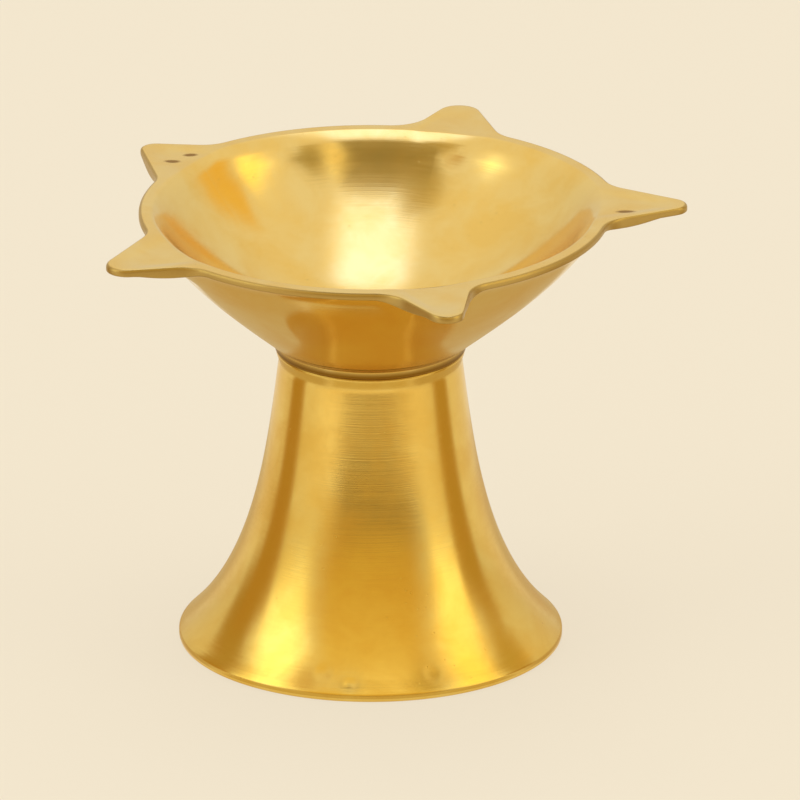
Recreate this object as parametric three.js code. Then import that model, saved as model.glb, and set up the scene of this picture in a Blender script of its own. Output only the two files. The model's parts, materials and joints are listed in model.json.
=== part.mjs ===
// Five-lip brass oil lamp on a hollow pedestal.
// Millimetres, +Z up, foot on Z = 0. Angles are in degrees from +X, counter-clockwise from above.
import * as THREE from "three";

// Whole lamp
const LAMP_HEIGHT = 68;
const PEDESTAL_HEIGHT = 46;
const CLEARANCE = 0.3;

// Pedestal outside
const FOOT_RADIUS = 28.8;
const FOOT_BAND_HEIGHT = 1.1;
const FOOT_BEVEL = 0.9;
const NECK_RADIUS = 13.8;
const NECK_HEIGHT = 44;
const PEDESTAL_TOP_RADIUS = 14.15;

// Pedestal inside
const PEDESTAL_WALL = 2.4;
const FOOT_RING_WIDTH = 3;
const SOCKET_RADIUS = 6.3;
const SOCKET_DEPTH = 5;
const SOCKET_FLOOR = 3;
const HOLLOW_CORNER = 2;

// Bowl
const COLLAR_RADIUS = 14.35;
const COLLAR_HEIGHT = 1.1;
const COVE_RADIUS = 16;
const COVE_HEIGHT = 2.5;
const RIM_RADIUS = 36.2;
const LAND_WIDTH = 1.9;
const RIM_EDGE = 1;
const RIM_FILLET = 2;
const OUTER_ROUNDING = 0.3;
const INNER_ROUNDING = 1.2;
const BOWL_FLOOR = 4;

// Lips and the rim between them, as finished by hand
const LIP_ANGLES = [3, 72.2, 141.1, 212.3, 284.8];
const LIP_REACHES = [47.6, 47.1, 44, 46.1, 47.1];
const LIP_TIP_RADII = [2.3, 3.1, 2.1, 3.1, 2.6];
const LIP_SIDE_ANGLES = [[23, 33], [34, 12], [34, 40], [31, 22], [19, 21]];
const LIP_ROOT_FILLET = 6;
const RIM_OUT_OF_ROUND = [1.3, 0.2, -1.5, -0.4, -0.4];
const LIP_ROOT_EDGE = 2.5;
const LIP_TIP_EDGE = 1.1;
const LIP_TAPER_LENGTH = 7;
const LIP_FILLET = 5;
const CHANNEL_DEPTH = 0.3;
const CHANNEL_BORDER = 1;
const CHANNEL_SLOPE = 4;

// M6 fastening: the plain shank stands for the thread at its pitch diameter
const SHANK_RADIUS = 2.675;
const SCREW_LENGTH = 12;
const SCREW_HOLE_RADIUS = 3.3;
const HEAD_ACROSS_FLATS = 10;
const HEAD_HEIGHT = 4;
const WASHER_THICKNESS = 1.6;
const PLAIN_WASHER_RADIUS = 6;
const PLAIN_WASHER_BORE = 3.2;
const SPRING_WASHER_RADIUS = 5.9;
const SPRING_WASHER_BORE = 3.05;
const SPRING_WASHER_SLIT = 14;
const SPRING_WASHER_SLANT = 8;
const TAPPED_DEPTH = 6.7;
const SMALL_CHAMFER = 0.4;

const FULL_TURN = 2 * Math.PI;
const radians = THREE.MathUtils.degToRad;

const curve = (...points) =>
  new THREE.CubicBezierCurve(...points.map(([r, z]) => new THREE.Vector2(r, z)));

// Even angles around the axis, in radians
const evenAngles = (count) => Array.from({ length: count }, (_, i) => (i * FULL_TURN) / count);

// A closed surface from one profile per angle, walked counter-clockwise in (radius, height).
// A profile that starts and ends on the axis is closed by its two end points.
// Any other profile is a loop.
function turned(profileAt, angles) {
  const profiles = angles.map(profileAt);
  const onAxis = profiles[0][0][0] === 0;
  const first = onAxis ? 1 : 0;
  const rings = profiles[0].length - 2 * first;
  const positions = [];
  profiles.forEach((profile, i) => {
    for (let j = 0; j < rings; j++) {
      const [r, z] = profile[j + first];
      positions.push(r * Math.cos(angles[i]), r * Math.sin(angles[i]), z);
    }
  });
  const faces = [];
  const at = (i, j) => (i % angles.length) * rings + (j % rings);
  for (let i = 0; i < angles.length; i++) {
    for (let j = 0; j < (onAxis ? rings - 1 : rings); j++) {
      faces.push(at(i, j), at(i + 1, j), at(i + 1, j + 1));
      faces.push(at(i, j), at(i + 1, j + 1), at(i, j + 1));
    }
  }
  if (onAxis) {
    const start = positions.length / 3;
    positions.push(0, 0, profiles[0][0][1], 0, 0, profiles[0].at(-1)[1]);
    for (let i = 0; i < angles.length; i++) {
      faces.push(start, at(i + 1, 0), at(i, 0));
      faces.push(start + 1, at(i, rings - 1), at(i + 1, rings - 1));
    }
  }
  const geometry = new THREE.BufferGeometry();
  geometry.setAttribute("position", new THREE.Float32BufferAttribute(positions, 3));
  geometry.setIndex(faces);
  geometry.computeVertexNormals();
  return geometry;
}

// Height of a curve at a radius, carried on straight past its end
function heightAt(path, radius) {
  const end = path.getPoint(1);
  if (radius >= end.x) {
    const slope = (end.y - path.v2.y) / (end.x - path.v2.x);
    return end.y + (radius - end.x) * slope;
  }
  let low = 0;
  let high = 1;
  for (let step = 0; step < 40; step++) {
    const middle = (low + high) / 2;
    if (path.getPoint(middle).x < radius) low = middle;
    else high = middle;
  }
  return path.getPoint(low).y;
}

// The lower of two heights, with a rounded change from one to the other
function softLower(a, b, rounding) {
  const near = Math.max(rounding - Math.abs(a - b), 0) / rounding;
  return Math.min(a, b) - (near * near * rounding) / 4;
}

const smooth = (value) => THREE.MathUtils.smoothstep(value, 0, 1);

// One side of a lip in plan: half a round tip, a straight side and a fillet into the rim
function lipSide(lip, half, rimRadius) {
  const tip = LIP_TIP_RADII[lip];
  const tipCentre = LIP_REACHES[lip] - tip;
  const lean = radians(LIP_SIDE_ANGLES[lip][half]);
  const cos = Math.cos(lean);
  const sin = Math.sin(lean);
  const fromAxis = tipCentre * sin + tip;
  const across = fromAxis + LIP_ROOT_FILLET;
  const along = Math.sqrt((rimRadius + LIP_ROOT_FILLET) ** 2 - across ** 2);
  const x = sin * across + cos * along;
  const y = cos * across - sin * along;
  return {
    tip,
    tipCentre,
    lean,
    fromAxis,
    x,
    y,
    rimRadius,
    tipAngle: Math.atan2(tip * cos, tipCentre + tip * sin),
    filletAngle: Math.atan2(y - LIP_ROOT_FILLET * cos, x - LIP_ROOT_FILLET * sin),
    rootAngle: Math.atan2(y, x),
  };
}

function lipEdge(side, angle) {
  const cos = Math.cos(angle);
  const sin = Math.sin(angle);
  if (angle >= side.rootAngle) return side.rimRadius;
  if (angle <= side.tipAngle) {
    return side.tipCentre * cos + Math.sqrt(side.tip ** 2 - (side.tipCentre * sin) ** 2);
  }
  if (angle <= side.filletAngle) return side.fromAxis / Math.sin(angle + side.lean);
  const along = side.x * cos + side.y * sin;
  return along - Math.sqrt(along ** 2 - side.x ** 2 - side.y ** 2 + LIP_ROOT_FILLET ** 2);
}

const gapRadius = (gap) => RIM_RADIUS + RIM_OUT_OF_ROUND[(gap + 5) % 5];

const lips = LIP_ANGLES.map((angle, lip) => ({
  angle: radians(angle),
  before: lipSide(lip, 0, gapRadius(lip - 1)),
  after: lipSide(lip, 1, gapRadius(lip)),
}));

// Where an angle lies: its nearest lip, the side of it, the edge of the plan and the turned rim
function planAt(angle) {
  let best = { away: Infinity };
  for (const lip of lips) {
    const away = Math.atan2(Math.sin(angle - lip.angle), Math.cos(angle - lip.angle));
    if (Math.abs(away) < Math.abs(best.away)) best = { lip, away };
  }
  const { lip, away } = best;
  const side = away >= 0 ? lip.after : lip.before;
  const across = THREE.MathUtils.clamp(away / side.rootAngle, -1, 1);
  const blend = smooth((across + 1) / 2);
  return {
    edge: lipEdge(side, Math.abs(away)),
    rim: THREE.MathUtils.lerp(lip.before.rimRadius, lip.after.rimRadius, blend),
    lipness: smooth(1.25 * (1 - Math.abs(across))),
  };
}

// Angles that follow each lip's tip, flanks and the rim to the next lip
function bowlAngles() {
  const angles = [];
  lips.forEach((lip, index) => {
    const next = lips[(index + 1) % 5];
    const sides = [
      [lip.angle, lip.after, 1],
      [next.angle + (index === 4 ? FULL_TURN : 0), next.before, -1],
    ];
    const [rising, falling] = sides.map(([middle, side, sign]) => {
      const steps = [0, 0.4 * side.tipAngle, 0.75 * side.tipAngle, side.tipAngle];
      steps.push((side.tipAngle + side.filletAngle) / 2);
      for (let i = 0; i <= 3; i++) {
        steps.push(THREE.MathUtils.lerp(side.filletAngle, side.rootAngle, i / 3));
      }
      return steps.map((step) => middle + sign * step);
    });
    angles.push(...rising);
    const from = rising.at(-1);
    const to = falling.at(-1);
    for (let i = 1; i < 4; i++) angles.push(THREE.MathUtils.lerp(from, to, i / 4));
    angles.push(...falling.slice(1).reverse());
  });
  return angles;
}

// Cast bowl: boss with a tapped blind hole, collar, wall, rim and the five lips in one piece
function bowl() {
  const boss = SOCKET_RADIUS - CLEARANCE;
  const bossBottom = PEDESTAL_HEIGHT - SOCKET_DEPTH + CLEARANCE;
  const tapped = SHANK_RADIUS + CLEARANCE;
  const tappedTop = bossBottom + TAPPED_DEPTH;
  const coveTop = PEDESTAL_HEIGHT + COVE_HEIGHT;
  const wallHeight = LAMP_HEIGHT - coveTop;
  const wallWidth = RIM_RADIUS - COVE_RADIUS;
  const outside = curve(
    [COVE_RADIUS, coveTop],
    [COVE_RADIUS + 0.345 * wallWidth, coveTop + 0.28 * wallHeight],
    [RIM_RADIUS - 0.22 * wallWidth, coveTop + 0.63 * wallHeight],
    [RIM_RADIUS, LAMP_HEIGHT + 0.6],
  );
  const floor = PEDESTAL_HEIGHT + BOWL_FLOOR;
  const insideRadius = RIM_RADIUS - LAND_WIDTH;
  const insideHeight = LAMP_HEIGHT - floor;
  const inside = curve(
    [0, floor],
    [0.4 * insideRadius, floor],
    [0.8 * insideRadius, floor + 0.5 * insideHeight],
    [insideRadius, LAMP_HEIGHT + 0.6],
  );
  const cove = curve(
    [COLLAR_RADIUS, PEDESTAL_HEIGHT + COLLAR_HEIGHT],
    [COLLAR_RADIUS + 0.1, PEDESTAL_HEIGHT + 0.6 * COVE_HEIGHT],
    [COVE_RADIUS - 0.6, coveTop - 0.6],
    [COVE_RADIUS, coveTop],
  );
  const profileAt = (angle) => {
    const { edge, rim, lipness } = planAt(angle);
    // Rim out of round dies away down to the collar
    const trueRadius = (r) => {
      const share = Math.max((r - COVE_RADIUS) / wallWidth, 0);
      return r - (rim - RIM_RADIUS) * Math.min(share, 1);
    };
    const under = (r) => {
      const outward = THREE.MathUtils.clamp((r - RIM_RADIUS) / LIP_TAPER_LENGTH, 0, 1);
      const lipThickness = THREE.MathUtils.lerp(LIP_ROOT_EDGE, LIP_TIP_EDGE, outward);
      const plate = LAMP_HEIGHT - THREE.MathUtils.lerp(RIM_EDGE, lipThickness, lipness);
      const fillet = THREE.MathUtils.lerp(RIM_FILLET, LIP_FILLET, lipness);
      return softLower(heightAt(outside, trueRadius(r)), plate, fillet);
    };
    const over = (r) => {
      const deep = smooth((edge - r - CHANNEL_BORDER) / CHANNEL_SLOPE);
      const top = LAMP_HEIGHT - CHANNEL_DEPTH * lipness * deep;
      return softLower(heightAt(inside, trueRadius(r)), top, INNER_ROUNDING);
    };
    const points = [
      [0, tappedTop + tapped / 2],
      [tapped, tappedTop],
      [tapped, bossBottom + SMALL_CHAMFER],
      [tapped + SMALL_CHAMFER, bossBottom],
      [boss - SMALL_CHAMFER, bossBottom],
      [boss, bossBottom + SMALL_CHAMFER],
      [boss, PEDESTAL_HEIGHT],
      [COLLAR_RADIUS - SMALL_CHAMFER, PEDESTAL_HEIGHT],
      [COLLAR_RADIUS, PEDESTAL_HEIGHT + SMALL_CHAMFER],
    ];
    for (let i = 0; i < 4; i++) points.push(cove.getPoint(i / 4).toArray());
    const root = rim - 2.5;
    for (let i = 0; i < 7; i++) {
      const r = THREE.MathUtils.lerp(COVE_RADIUS, root, i / 7);
      points.push([r, under(r)]);
    }
    const flat = edge - OUTER_ROUNDING;
    for (let i = 0; i <= 4; i++) {
      const r = THREE.MathUtils.lerp(root, flat, i / 4);
      points.push([r, under(r)]);
    }
    // Upright side, rounded over at the top
    const high = over(flat);
    const halfway = OUTER_ROUNDING * (1 - Math.SQRT1_2);
    points.push([edge, under(edge)], [edge, high - OUTER_ROUNDING], [edge - halfway, high - halfway]);
    const innerEdge = rim - LAND_WIDTH;
    for (const share of [0, 0.2, 0.45, 0.7, 0.88]) {
      const r = THREE.MathUtils.lerp(flat, innerEdge, share);
      points.push([r, over(r)]);
    }
    for (const share of [1, 0.985, 0.96, 0.91, 0.84, 0.75, 0.64, 0.52, 0.4, 0.27, 0.13]) {
      const r = innerEdge * share;
      points.push([r, over(r)]);
    }
    points.push([0, floor]);
    return points;
  };
  return turned(profileAt, bowlAngles());
}

// Cast pedestal: flared shell on a flat ring, thick top with the boss socket and the screw hole
function pedestal() {
  const bevelTop = FOOT_BAND_HEIGHT + FOOT_BEVEL;
  const flareRadius = FOOT_RADIUS - FOOT_BEVEL;
  const flareWidth = flareRadius - NECK_RADIUS;
  const flareHeight = NECK_HEIGHT - bevelTop;
  const flare = curve(
    [flareRadius, bevelTop],
    [flareRadius - 0.727 * flareWidth, bevelTop + 0.241 * flareHeight],
    [NECK_RADIUS + 0.132 * flareWidth, NECK_HEIGHT - 0.365 * flareHeight],
    [NECK_RADIUS, NECK_HEIGHT],
  );
  const socketBottom = PEDESTAL_HEIGHT - SOCKET_DEPTH;
  const ceiling = socketBottom - SOCKET_FLOOR;
  const footInner = FOOT_RADIUS - FOOT_RING_WIDTH;
  const profile = [
    [footInner, 0],
    [FOOT_RADIUS - SMALL_CHAMFER, 0],
    [FOOT_RADIUS, SMALL_CHAMFER],
    [FOOT_RADIUS, FOOT_BAND_HEIGHT],
  ];
  const steps = 13;
  const hollow = [];
  for (let i = 0; i <= steps; i++) {
    const share = i / steps;
    const point = flare.getPoint(share);
    const along = flare.getTangent(share);
    profile.push(point.toArray());
    // The hollow follows the outside at the wall's thickness
    const inner = [point.x - PEDESTAL_WALL * along.y, point.y + PEDESTAL_WALL * along.x];
    const low = inner[0] > footInner - 0.3 || inner[1] < bevelTop;
    if (!low && inner[1] < ceiling - HOLLOW_CORNER - 0.5) hollow.unshift(inner);
  }
  profile.push(
    [PEDESTAL_TOP_RADIUS, PEDESTAL_HEIGHT - 0.9],
    [PEDESTAL_TOP_RADIUS, PEDESTAL_HEIGHT - SMALL_CHAMFER],
    [PEDESTAL_TOP_RADIUS - SMALL_CHAMFER, PEDESTAL_HEIGHT],
    [SOCKET_RADIUS + SMALL_CHAMFER, PEDESTAL_HEIGHT],
    [SOCKET_RADIUS, PEDESTAL_HEIGHT - SMALL_CHAMFER],
    [SOCKET_RADIUS, socketBottom],
    [SCREW_HOLE_RADIUS, socketBottom],
    [SCREW_HOLE_RADIUS, ceiling],
  );
  // Rounded corner between the ceiling and the wall of the hollow
  const cornerRadius = hollow[0][0] - HOLLOW_CORNER;
  for (let i = 0; i <= 3; i++) {
    const turn = (i / 3) * (Math.PI / 2);
    profile.push([
      cornerRadius + HOLLOW_CORNER * Math.sin(turn),
      ceiling - HOLLOW_CORNER * (1 - Math.cos(turn)),
    ]);
  }
  profile.push(...hollow, [footInner, 1]);
  return turned(() => profile, evenAngles(60));
}

// Heights of the fastening, stacked down from the ceiling of the hollow
const ceilingHeight = PEDESTAL_HEIGHT - SOCKET_DEPTH - SOCKET_FLOOR;
const plainWasherBottom = ceilingHeight - WASHER_THICKNESS;
const springWasherBottom = plainWasherBottom - WASHER_THICKNESS;

// Hexagon screw with its head down
function fixingScrew() {
  const bottom = springWasherBottom - HEAD_HEIGHT;
  const tip = springWasherBottom + SCREW_LENGTH;
  const half = HEAD_ACROSS_FLATS / 2;
  const faceRadius = half * 0.95;
  const profileAt = (angle) => {
    const fromFlat = ((angle + Math.PI / 6) % (Math.PI / 3)) - Math.PI / 6;
    const side = half / Math.cos(fromFlat);
    return [
      [0, bottom],
      [faceRadius, bottom],
      [side, bottom + (side - faceRadius) * Math.tan(Math.PI / 6)],
      [side, springWasherBottom],
      [SHANK_RADIUS, springWasherBottom],
      [SHANK_RADIUS, tip - 0.6],
      [SHANK_RADIUS - 0.6, tip],
      [0, tip],
    ];
  };
  return turned(profileAt, evenAngles(48));
}

function plainWasher() {
  const low = plainWasherBottom;
  const high = ceilingHeight;
  const chamfer = SMALL_CHAMFER / 2;
  const profile = [
    [PLAIN_WASHER_BORE, low],
    [PLAIN_WASHER_RADIUS - chamfer, low],
    [PLAIN_WASHER_RADIUS, low + chamfer],
    [PLAIN_WASHER_RADIUS, high],
    [PLAIN_WASHER_BORE, high],
  ];
  return turned(() => profile, evenAngles(48));
}

// Split ring, pressed flat, with slanted ends
function springWasher() {
  const corners = [
    [SPRING_WASHER_BORE, springWasherBottom],
    [SPRING_WASHER_RADIUS, springWasherBottom],
    [SPRING_WASHER_RADIUS, plainWasherBottom],
    [SPRING_WASHER_BORE, plainWasherBottom],
  ];
  const steps = 44;
  const slit = radians(SPRING_WASHER_SLIT);
  const positions = [];
  for (let i = 0; i <= steps; i++) {
    const angle = slit / 2 + (i / steps) * (FULL_TURN - slit);
    corners.forEach(([r, z]) => {
      const slant = z > springWasherBottom ? radians(SPRING_WASHER_SLANT) : 0;
      positions.push(r * Math.cos(angle + slant), r * Math.sin(angle + slant), z);
    });
  }
  const faces = [0, 1, 2, 0, 2, 3];
  for (let i = 0; i < steps; i++) {
    for (let j = 0; j < 4; j++) {
      const a = 4 * i + j;
      const b = 4 * i + ((j + 1) % 4);
      faces.push(a, a + 4, b + 4, a, b + 4, b);
    }
  }
  const last = 4 * steps;
  faces.push(last, last + 2, last + 1, last, last + 3, last + 2);
  const geometry = new THREE.BufferGeometry();
  geometry.setAttribute("position", new THREE.Float32BufferAttribute(positions, 3));
  geometry.setIndex(faces);
  geometry.computeVertexNormals();
  return geometry;
}

const brass = { color: 0xd9a441, metalness: 1, roughness: 0.25 };
const steel = { color: 0xb9bbb8, metalness: 1, roughness: 0.35 };

const lamp = new THREE.Group();
lamp.name = "oil_lamp";
const pieces = [
  ["pedestal", pedestal, brass],
  ["bowl", bowl, brass],
  ["fixing_screw", fixingScrew, steel],
  ["spring_washer", springWasher, steel],
  ["plain_washer", plainWasher, steel],
];
for (const [name, shape, look] of pieces) {
  const mesh = new THREE.Mesh(shape(), new THREE.MeshStandardMaterial(look));
  mesh.name = name;
  lamp.add(mesh);
}

// The origin is under the middle of the lamp's box, so the five lips set the axis a little aside
const box = new THREE.Box3().setFromObject(lamp);
const middle = box.getCenter(new THREE.Vector3());
lamp.position.set(-middle.x, -middle.y, 0);

export default lamp;
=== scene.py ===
import json
import math
from bisect import bisect_right

import bmesh
import bpy
from mathutils import Matrix, Vector


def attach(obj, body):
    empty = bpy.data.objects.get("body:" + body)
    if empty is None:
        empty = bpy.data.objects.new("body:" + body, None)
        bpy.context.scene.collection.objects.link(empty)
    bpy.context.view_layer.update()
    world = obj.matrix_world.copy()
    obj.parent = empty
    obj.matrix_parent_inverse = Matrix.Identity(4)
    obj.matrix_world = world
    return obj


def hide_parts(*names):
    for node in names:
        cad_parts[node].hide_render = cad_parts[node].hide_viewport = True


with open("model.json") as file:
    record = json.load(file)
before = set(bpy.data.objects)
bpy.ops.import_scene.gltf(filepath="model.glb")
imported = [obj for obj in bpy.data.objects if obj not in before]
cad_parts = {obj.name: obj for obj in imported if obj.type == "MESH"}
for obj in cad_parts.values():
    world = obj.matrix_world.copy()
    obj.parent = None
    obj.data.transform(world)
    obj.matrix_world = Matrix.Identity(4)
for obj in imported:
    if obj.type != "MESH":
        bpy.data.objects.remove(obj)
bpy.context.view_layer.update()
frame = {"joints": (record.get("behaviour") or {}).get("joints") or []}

# Camera: a long lens a few metres away, about 21 degrees above level, with the lamp a little
# left of the middle, as in the photograph.
mm = 0.001
turning_axis = next(j for j in frame["joints"] if j["name"] == "screw_turn")["pos_m"]
lamp_axis = Vector((turning_axis[0], turning_axis[1], 0.0))
camera_height_angle = math.radians(21.0)
camera_distance = 4.5
frame_width = 0.120
aim = lamp_axis + Vector((0.00442, 0.0, 0.0374))
camera_data = bpy.data.cameras.new("camera")
camera_data.sensor_width = 36.0
camera_data.lens = camera_data.sensor_width * camera_distance / frame_width
camera_data.clip_end = 20.0
camera = bpy.data.objects.new("camera", camera_data)
bpy.context.scene.collection.objects.link(camera)
camera.location = aim + camera_distance * Vector(
    (0.0, -math.cos(camera_height_angle), math.sin(camera_height_angle))
)
camera.rotation_euler = (math.pi / 2 - camera_height_angle, 0.0, 0.0)
bpy.context.scene.camera = camera


# Pedestal: a hollow brass casting, turned on a lathe and flared to the flat ring it stands on.
# Its top is a thick floor with a socket for the bowl's boss and a clearance hole for the screw.
foot_radius = 28.8
foot_band_height = 1.1
foot_bevel = 0.9
neck_radius = 13.8
neck_height = 44.0
pedestal_top_radius = 14.15
seam_height = 46.0
pedestal_wall = 2.4
foot_ring_width = 3.0
socket_radius = 6.3
socket_bottom = 41.0
ceiling = 38.0
screw_hole_radius = 3.3
hollow_corner = 2.0
around = 432


def bezier(start, handle, far_handle, end, steps):
    """Points (radius, height) of a cubic curve, with both ends."""
    points = []
    for i in range(steps + 1):
        t = i / steps
        shares = ((1 - t) ** 3, 3 * t * (1 - t) ** 2, 3 * t * t * (1 - t), t ** 3)
        corners = (start, handle, far_handle, end)
        points.append(tuple(sum(s * c[k] for s, c in zip(shares, corners)) for k in (0, 1)))
    return points


def turn(profile, steps, closed=True, angle=2 * math.pi, start=0.0):
    """Spins a profile of (radius, height) in millimetres about the lamp's axis."""
    shape = bmesh.new()
    station = shape.verts.layers.int.new("station")
    across = Vector((math.cos(start), math.sin(start), 0.0))
    corners = []
    for number, (r, z) in enumerate(profile):
        corner = shape.verts.new(lamp_axis + (across * r + Vector((0, 0, z))) * mm)
        corner[station] = number
        corners.append(corner)
    pairs = list(zip(corners, corners[1:])) + ([(corners[-1], corners[0])] if closed else [])
    for pair in pairs:
        shape.edges.new(pair)
    full = angle > 6.28
    bmesh.ops.spin(shape, geom=shape.verts[:] + shape.edges[:], cent=lamp_axis, axis=(0, 0, 1),
                   angle=angle, steps=steps, use_merge=full)
    bmesh.ops.remove_doubles(shape, verts=shape.verts[:], dist=1e-7)
    bmesh.ops.recalc_face_normals(shape, faces=shape.faces[:])
    return shape


def soften(shape, radius, folded_over=0.5, segments=3):
    """Rounds the edges that fold by more than an angle, in radians."""
    sharp = [e for e in shape.edges if e.is_manifold and e.calc_face_angle() > folded_over]
    bmesh.ops.bevel(shape, geom=sharp, offset=radius * mm, offset_type="OFFSET",
                    segments=segments, profile=0.5, affect="EDGES", clamp_overlap=True,
                    material=-1)


def add_piece(name, shape, material, body, node_name):
    """Makes the piece's object, which rides on its body and stands for its solid."""
    mesh = bpy.data.meshes.new(name)
    shape.to_mesh(mesh)
    shape.free()
    mesh.polygons.foreach_set("use_smooth", [True] * len(mesh.polygons))
    mesh.materials.append(material)
    made = bpy.data.objects.new(name, mesh)
    bpy.context.scene.collection.objects.link(made)
    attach(made, body)
    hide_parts(node_name)
    return made


def dent(shape, centre, radius, depth):
    """Presses the surface in around a point, softly, along each vertex's own normal."""
    centre = lamp_axis + Vector(centre) * mm
    for vert in shape.verts:
        away = (vert.co - centre).length / (radius * mm)
        if away < 1:
            vert.co -= vert.normal * depth * mm * (1 - away * away) ** 2


def place(tree, kind, inputs=None, **settings):
    """Adds a node with its settings, and sets or links its named inputs."""
    made = tree.nodes.new(kind)
    for name, value in settings.items():
        setattr(made, name, value)
    for name, value in (inputs or {}).items():
        if isinstance(value, bpy.types.NodeSocket):
            tree.links.new(value, made.inputs[name])
        else:
            made.inputs[name].default_value = value
    return made


def sum_of(tree, operation, a, b=None):
    made = place(tree, "ShaderNodeMath", operation=operation)
    for socket, value in zip(made.inputs, (a, b)):
        if isinstance(value, bpy.types.NodeSocket):
            tree.links.new(value, socket)
        elif value is not None:
            socket.default_value = value
    return made.outputs[0]


def spread(tree, value, low, high, to_low=0.0, to_high=1.0):
    """Carries a value from one span to another, held at its ends."""
    return place(tree, "ShaderNodeMapRange", {
        "Value": value, "From Min": low, "From Max": high, "To Min": to_low, "To Max": to_high,
    }).outputs["Result"]


def new_group(name, inputs, outputs):
    group = bpy.data.node_groups.new(name, "ShaderNodeTree")
    for socket_name, value in inputs:
        socket = group.interface.new_socket(socket_name, in_out="INPUT",
                                            socket_type="NodeSocketFloat")
        socket.default_value = value
    for socket_name in outputs:
        group.interface.new_socket(socket_name, in_out="OUTPUT", socket_type="NodeSocketFloat")
    return group, place(group, "NodeGroupInput"), place(group, "NodeGroupOutput")


def make_turning_marks():
    """Rings left by the lathe tool, and brushing that runs the same way round."""
    group, given, result = new_group(
        "turning_marks", [("Rings per mm", 5.0)], ["Rings", "Brushing", "Height"])
    spot = place(group, "ShaderNodeTexCoord")
    centred = place(group, "ShaderNodeMapping", {
        "Vector": spot.outputs["Object"], "Location": (-lamp_axis.x, -lamp_axis.y, 0.0)})
    parts = place(group, "ShaderNodeSeparateXYZ", {"Vector": centred.outputs[0]})
    x, y, z = parts.outputs
    radius = sum_of(group, "SQRT", sum_of(
        group, "ADD", sum_of(group, "MULTIPLY", x, x), sum_of(group, "MULTIPLY", y, y)))
    bearing = sum_of(group, "ARCTAN2", y, x)
    scale = sum_of(group, "MULTIPLY", given.outputs["Rings per mm"], 1000.0)
    ring_place = place(group, "ShaderNodeCombineXYZ", {
        "X": sum_of(group, "MULTIPLY", radius, scale),
        "Y": sum_of(group, "MULTIPLY", z, scale)})
    rings = place(group, "ShaderNodeTexNoise", {
        "Vector": ring_place.outputs[0], "Scale": 1.0, "Detail": 3.0, "Roughness": 0.65})
    brush_place = place(group, "ShaderNodeCombineXYZ", {
        "X": sum_of(group, "MULTIPLY", radius, sum_of(group, "MULTIPLY", scale, 1.6)),
        "Y": sum_of(group, "MULTIPLY", z, sum_of(group, "MULTIPLY", scale, 1.6)),
        "Z": sum_of(group, "MULTIPLY", sum_of(group, "SINE", bearing), 9.0)})
    brushing = place(group, "ShaderNodeTexNoise", {
        "Vector": brush_place.outputs[0], "Scale": 1.0, "Detail": 2.0, "Roughness": 0.5})
    group.links.new(rings.outputs[0], result.inputs["Rings"])
    group.links.new(brushing.outputs[0], result.inputs["Brushing"])
    both = sum_of(group, "ADD", rings.outputs[0],
                  sum_of(group, "MULTIPLY", brushing.outputs[0], 0.5))
    group.links.new(both, result.inputs["Height"])
    return group


def make_tarnish_and_seam_shade():
    """Slow patches of handling wear, small casting pits, and a dark band along a height that is
    partly grime and partly painted shade in the joint.
    """
    group, given, result = new_group(
        "tarnish_and_seam_shade", [("Patch size mm", 9.0), ("Pit size mm", 0.35), ("Seam height mm", 46.0),
                    ("Seam width mm", 0.8)], ["Patches", "Pits", "Seam"])
    spot = place(group, "ShaderNodeTexCoord")
    patches = place(group, "ShaderNodeTexNoise", {
        "Vector": spot.outputs["Object"], "Detail": 4.0, "Roughness": 0.6, "Distortion": 0.3,
        "Scale": sum_of(group, "DIVIDE", 1000.0, given.outputs["Patch size mm"])})
    cells = place(group, "ShaderNodeTexVoronoi", {
        "Vector": spot.outputs["Object"], "Randomness": 1.0,
        "Scale": sum_of(group, "DIVIDE", 250.0, given.outputs["Pit size mm"])})
    pits = sum_of(group, "MULTIPLY", spread(group, cells.outputs["Distance"], 0.12, 0.02),
                  spread(group, patches.outputs[0], 0.5, 0.6))
    height = place(group, "ShaderNodeSeparateXYZ", {"Vector": spot.outputs["Object"]})
    away = sum_of(group, "ABSOLUTE", sum_of(
        group, "SUBTRACT", sum_of(group, "MULTIPLY", height.outputs[2], 1000.0),
        given.outputs["Seam height mm"]))
    seam = sum_of(group, "SUBTRACT", 1.0, sum_of(
        group, "MINIMUM", sum_of(group, "DIVIDE", away, given.outputs["Seam width mm"]), 1.0))
    group.links.new(spread(group, patches.outputs[0], 0.36, 0.64), result.inputs["Patches"])
    group.links.new(pits, result.inputs["Pits"])
    group.links.new(seam, result.inputs["Seam"])
    return group


turning_marks = make_turning_marks()
tarnish_and_seam_shade = make_tarnish_and_seam_shade()


def painted_slot_shade(tree, shaded_slots):
    """A mask of painted shade in small level slots at the lips' roots, each a centre, a bearing, a
    length and a width.
    """
    spot = place(tree, "ShaderNodeTexCoord")
    mask = 0.0
    for centre, bearing, length, width in shaded_slots:
        slot_place = place(tree, "ShaderNodeMapping", {
            "Vector": spot.outputs["Object"], "Location": lamp_axis + Vector(centre) * mm,
            "Rotation": (0.0, 0.0, math.radians(bearing)),
            "Scale": (length * mm / 2, width * mm / 2, mm)}, vector_type="TEXTURE")
        away = place(tree, "ShaderNodeVectorMath", {"Vector": slot_place.outputs[0]},
                     operation="LENGTH")
        here = spread(tree, away.outputs["Value"], 1.1, 0.6)
        mask = sum_of(tree, "MAXIMUM", mask, here)
    return mask


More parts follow.
